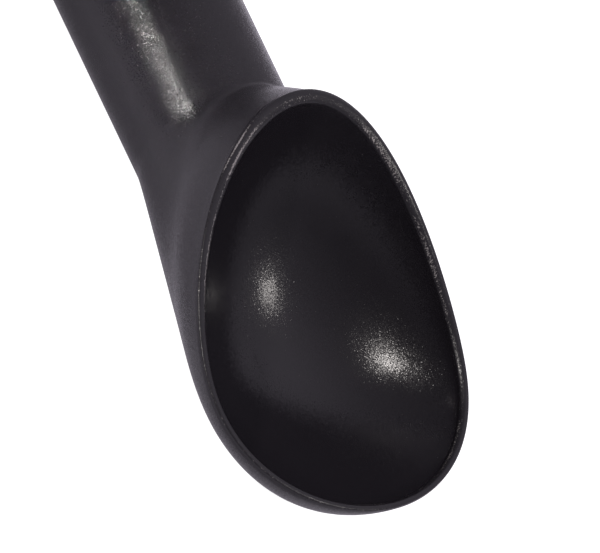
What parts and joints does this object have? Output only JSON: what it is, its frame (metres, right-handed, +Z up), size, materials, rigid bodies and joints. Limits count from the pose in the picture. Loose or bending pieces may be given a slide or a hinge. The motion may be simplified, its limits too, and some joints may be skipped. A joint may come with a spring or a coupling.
{
  "type": "ice cream scoop",
  "caption": "Cast ice-cream scoop in black non-stick coating: round hollow handle filled with heat-carrying liquid, and a deep egg-shaped bowl with a rounded rim.",
  "frame": {"origin": "centre of the scoop's outline seen from above, on the surface it lies on", "axes": "+X along the handle towards the bowl's tip, +Z up out of the bowl; the scoop lies on the bowl's belly and the handle's end, so the handle's axis leans up by 1.48 degrees towards the tip; the XZ plane is its mirror plane"},
  "size_m": [0.1784, 0.0576, 0.0433],
  "materials": {
    "coating": "satin black non-stick coating with fine grain, over cast aluminium",
    "liquid": "clear pale liquid",
    "bare_aluminium": "turned, fine lathe lines",
    "seal_rubber": "matte black",
    "screw_steel": "plain stainless",
    "washer_nylon": "natural nylon",
    "cap_plastic": "fine matte texture, black"
  },
  "bodies": {
    "root": {"scoop_body": "coating", "heat_fluid": "liquid", "end_plug": "bare_aluminium", "plug_o_ring": "seal_rubber", "fill_screw": "screw_steel", "fill_screw_washer": "washer_nylon", "end_cap": "cap_plastic"}
  },
  "joints": []
}
